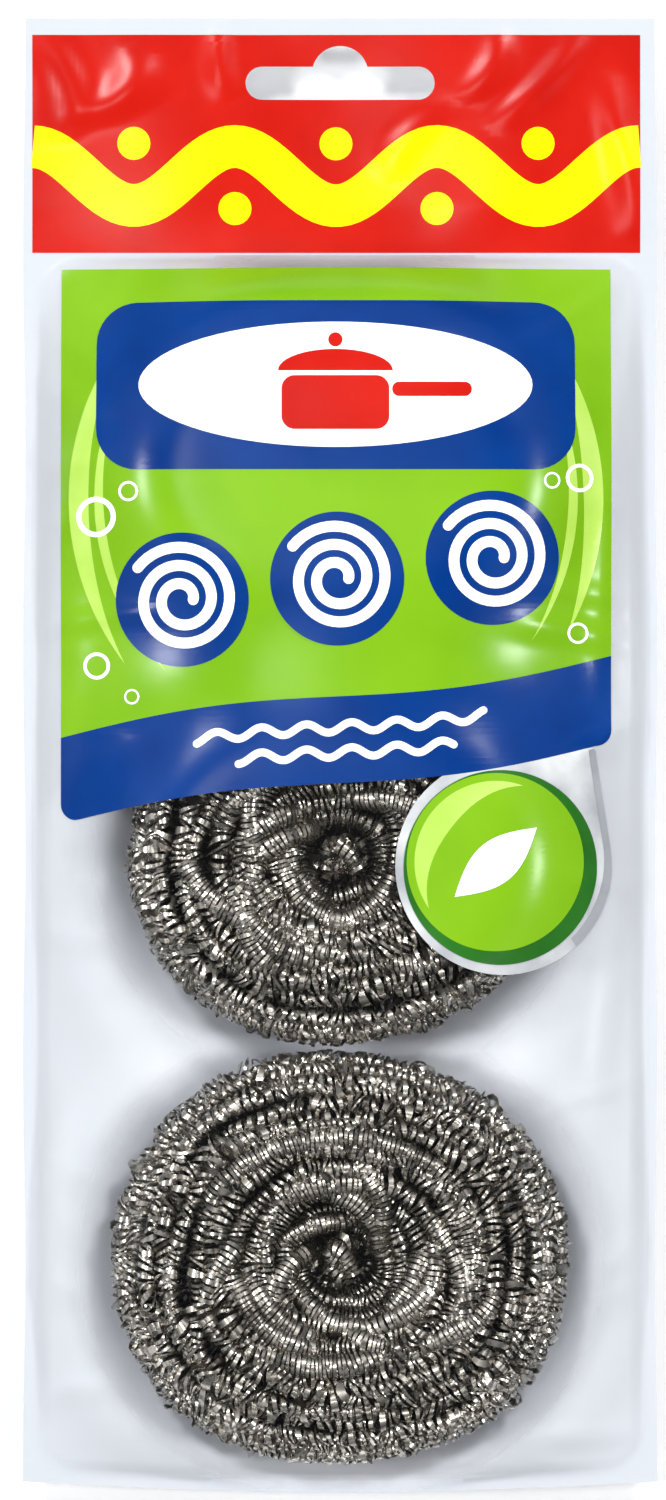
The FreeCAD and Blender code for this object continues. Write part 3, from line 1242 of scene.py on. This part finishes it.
def hose_route(ring, chance, distance):
    """A close-wound stretch that lies over the others round the eye and dives under them at both ends."""
    span = chance.uniform(*hose_span) * math.sqrt(10 / distance)
    count = int(span / hose_step) + 4
    turn = chance.uniform(0, 2 * math.pi) + np.linspace(0, span, count)
    reach = distance + chance.uniform(-hose_slant, hose_slant) * np.linspace(-1, 1, count)
    section = np.arccos(np.clip((reach - ring.section_radius) / ring.section_reach, -1, 1))
    dive = hose_dive * np.abs(np.linspace(-1, 1, count)) ** 4
    return on_ring(ring, section, turn, dive + chance.uniform(*hose_sink))


def tucked_route(ring, seed):
    """The strand's end, folded to and fro in the eye until it is full."""
    chance = np.random.RandomState(seed)
    low = ring.bottom + tuck_foot
    top = ring.middle + ring.section_rise - tuck_drop
    route = []
    for i in range(tuck_points):
        across = tuck_reach * math.sin(i * tuck_across) + chance.uniform(-tuck_wander, tuck_wander)
        along = tuck_reach * math.cos(i * tuck_along) + chance.uniform(-tuck_wander, tuck_wander)
        route.append((across, ring.y + along, low + (top - low) * i / (tuck_points - 1)))
    return route


# %% [markdown]
# ### The steel
# The wire is stainless steel, rolled flat. Fresh from the rolls it is bright, and every loop glints. The
# turns round the rim have a paler tone, which is painted light to make the rim look brighter. The turns
# packed inside have a dark tone, which is painted shade for the little light that reaches them.

# %% Steel
tarnish_size = 5
# Real rolling marks are finer. They are drawn this coarse so that they show.
rolling_mark = 0.8


def flat_wire(name, dark_tone, light_tone, smoothest, roughest):
    """Rolled stainless wire: bright, with faint tarnish and fine rolling marks that dull it unevenly."""
    material, tree = new_material(name)
    place = add_node(tree, "TexCoord")
    tarnish = add_node(tree, "TexNoise", pattern(place, tarnish_size, 4.0))
    tones = [(0.3, dark_tone), (0.7, light_tone)]
    tone = add_node(tree, "ValToRGB", {"Fac": tarnish}, tones)
    rolled = add_node(tree, "TexNoise", pattern(place, rolling_mark, 2.0))
    dull = add_node(tree, "MapRange", {"Value": rolled, "To Min": smoothest, "To Max": roughest})
    shader = add_node(tree, "BsdfPrincipled", {"Base Color": tone, "Roughness": dull, "Metallic": 1.0})
    add_node(tree, "OutputMaterial", {"Surface": shader})
    return material


steel = flat_wire("bright_stainless_flat_wire", "#76726B", "#C2BDB4", 0.19, 0.38)
# Painted light: the rim's turns get a paler steel tone, so that the rim looks brighter.
painted_light_steel = flat_wire("stainless_flat_wire_painted_light", "#918D86", "#E0DBD2", 0.19, 0.4)
# Painted shade: the packed core's turns get a dark steel tone for the shade deep inside the scrubber.
painted_shade_steel = flat_wire("stainless_flat_wire_painted_shade", "#1E1C1A", "#3A3733", 0.35, 0.5)
print(steel.name, painted_light_steel.name, painted_shade_steel.name)

# %% Loose stretches on the front
tangled = (0.9, 1.0)
hoses = 20
hose_pitch = 0.74
hose_radius = (1.85, 2.3)
hose_reach = (6.5, 21.0)
hose_disorder = (0.4, 0.4)
hose_lean = 0.32
crossings = 12
crossing_pitch = 1.0
crossing_radius = (1.2, 1.6)
crossing_lean = 0.7


def lay_over(coil, ring, seed):
    """Lays loose stretches over the turns of the front and joins them to their coil."""
    chance = np.random.RandomState(seed + 5)
    parts = [coil]
    for i in range(hoses):
        route = hose_route(ring, chance, chance.uniform(*hose_reach))
        radius = chance.uniform(*hose_radius)
        wire = (hose_pitch, radius, hose_disorder, hose_lean)
        parts.append(laid_strand("hose", route, *wire, seed + 40 + i))
    for i in range(crossings):
        route = crossing_route(ring, chance)
        radius = chance.uniform(*crossing_radius)
        wire = (crossing_pitch, radius, tangled, crossing_lean)
        parts.append(laid_strand("crossing", route, *wire, seed + 20 + i))
    for part in parts:
        part.select_set(True)
    bpy.context.view_layer.objects.active = coil
    bpy.ops.object.join()


# %% Wind the scrubbers
eye_coil_radius = 1.95
coil_radius = 1.4
packed_radius = 1.75
tucked_radius = 1.6
tucked_pitch = 0.75
tucked_lean = 0.15
rim_angle = 50.0
loosened = (0.95, 1.0)
loop_gap = 0.15
windings = {
    # where: first and last angle, rows, inset, wobble
    "front": (180, rim_angle, (4.0, 2.3), 0.0, 1.2),
    "rim": (rim_angle, -rim_angle, (2.4, 2.4), -1.0, 0.9),
    "back": (-rim_angle, -180, (2.8, 3.4), -0.6, 1.0),
    "core": (180, -180, (4.2, 4.2), 3.4, 0.8),
}
wires = {
    # where: pitch, radius, disorder, lean, steel
    "front": (1.06, eye_coil_radius, (0.35, 1.0), 0.8, steel),
    "rim": (1.2, coil_radius, loosened, 0.85, painted_light_steel),
    "back": (1.3, coil_radius, loosened, 0.6, steel),
    "core": (1.2, packed_radius, loosened, 0.3, painted_shade_steel),
}


def finish_coil(coil, node, ring, material):
    """Presses loops flat against the films and the next scrubber, hides its node and fixes the coil to its
    scrubber.

    The films are looked up over the whole travel of the scrubber, so that it can shift freely.
    """
    across, along, height = read_points(coil).T / MM
    along = np.clip(along, ring.low_side, ring.high_side)
    shifts = (-ring.travel, 0, ring.travel)
    over = np.min([film_heights(front_surface, across + shift, along) for shift in shifts], axis=0)
    under = np.max([film_heights(back_surface, across + shift, along) for shift in shifts], axis=0)
    height = np.clip(height, under + loop_gap, over - film_thickness - loop_gap)
    move_points(coil, np.stack([across, along, height], axis=1))
    coil.data.materials.append(material)
    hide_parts(node)
    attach(coil, ring.name)


for number, ring in enumerate(rings):
    seed = 10 * number + 3
    for offset, (where, winding) in enumerate(windings.items()):
        node = f"{ring.name}_{where}_turns"
        pitch, radius, disorder, lean, material = wires[where]
        route = wound_route(ring, *winding, seed + offset)
        coil = laid_strand(node + "_coil", route, pitch, radius, disorder, lean, seed)
        if where == "front":
            lay_over(coil, ring, seed)
        finish_coil(coil, node, ring, material)
    node = ring.name + "_tucked_end"
    wire = (tucked_pitch, tucked_radius, tangled, tucked_lean)
    coil = laid_strand(node + "_coil", tucked_route(ring, seed), *wire, seed)
    finish_coil(coil, node, ring, steel)

# %% [markdown]
# The films are sheets as large as the filled bag. Real films are cut flat a little larger, because the
# filling pulls the sides in.

# %% Finish
bpy.ops.object.select_all(action="DESELECT")
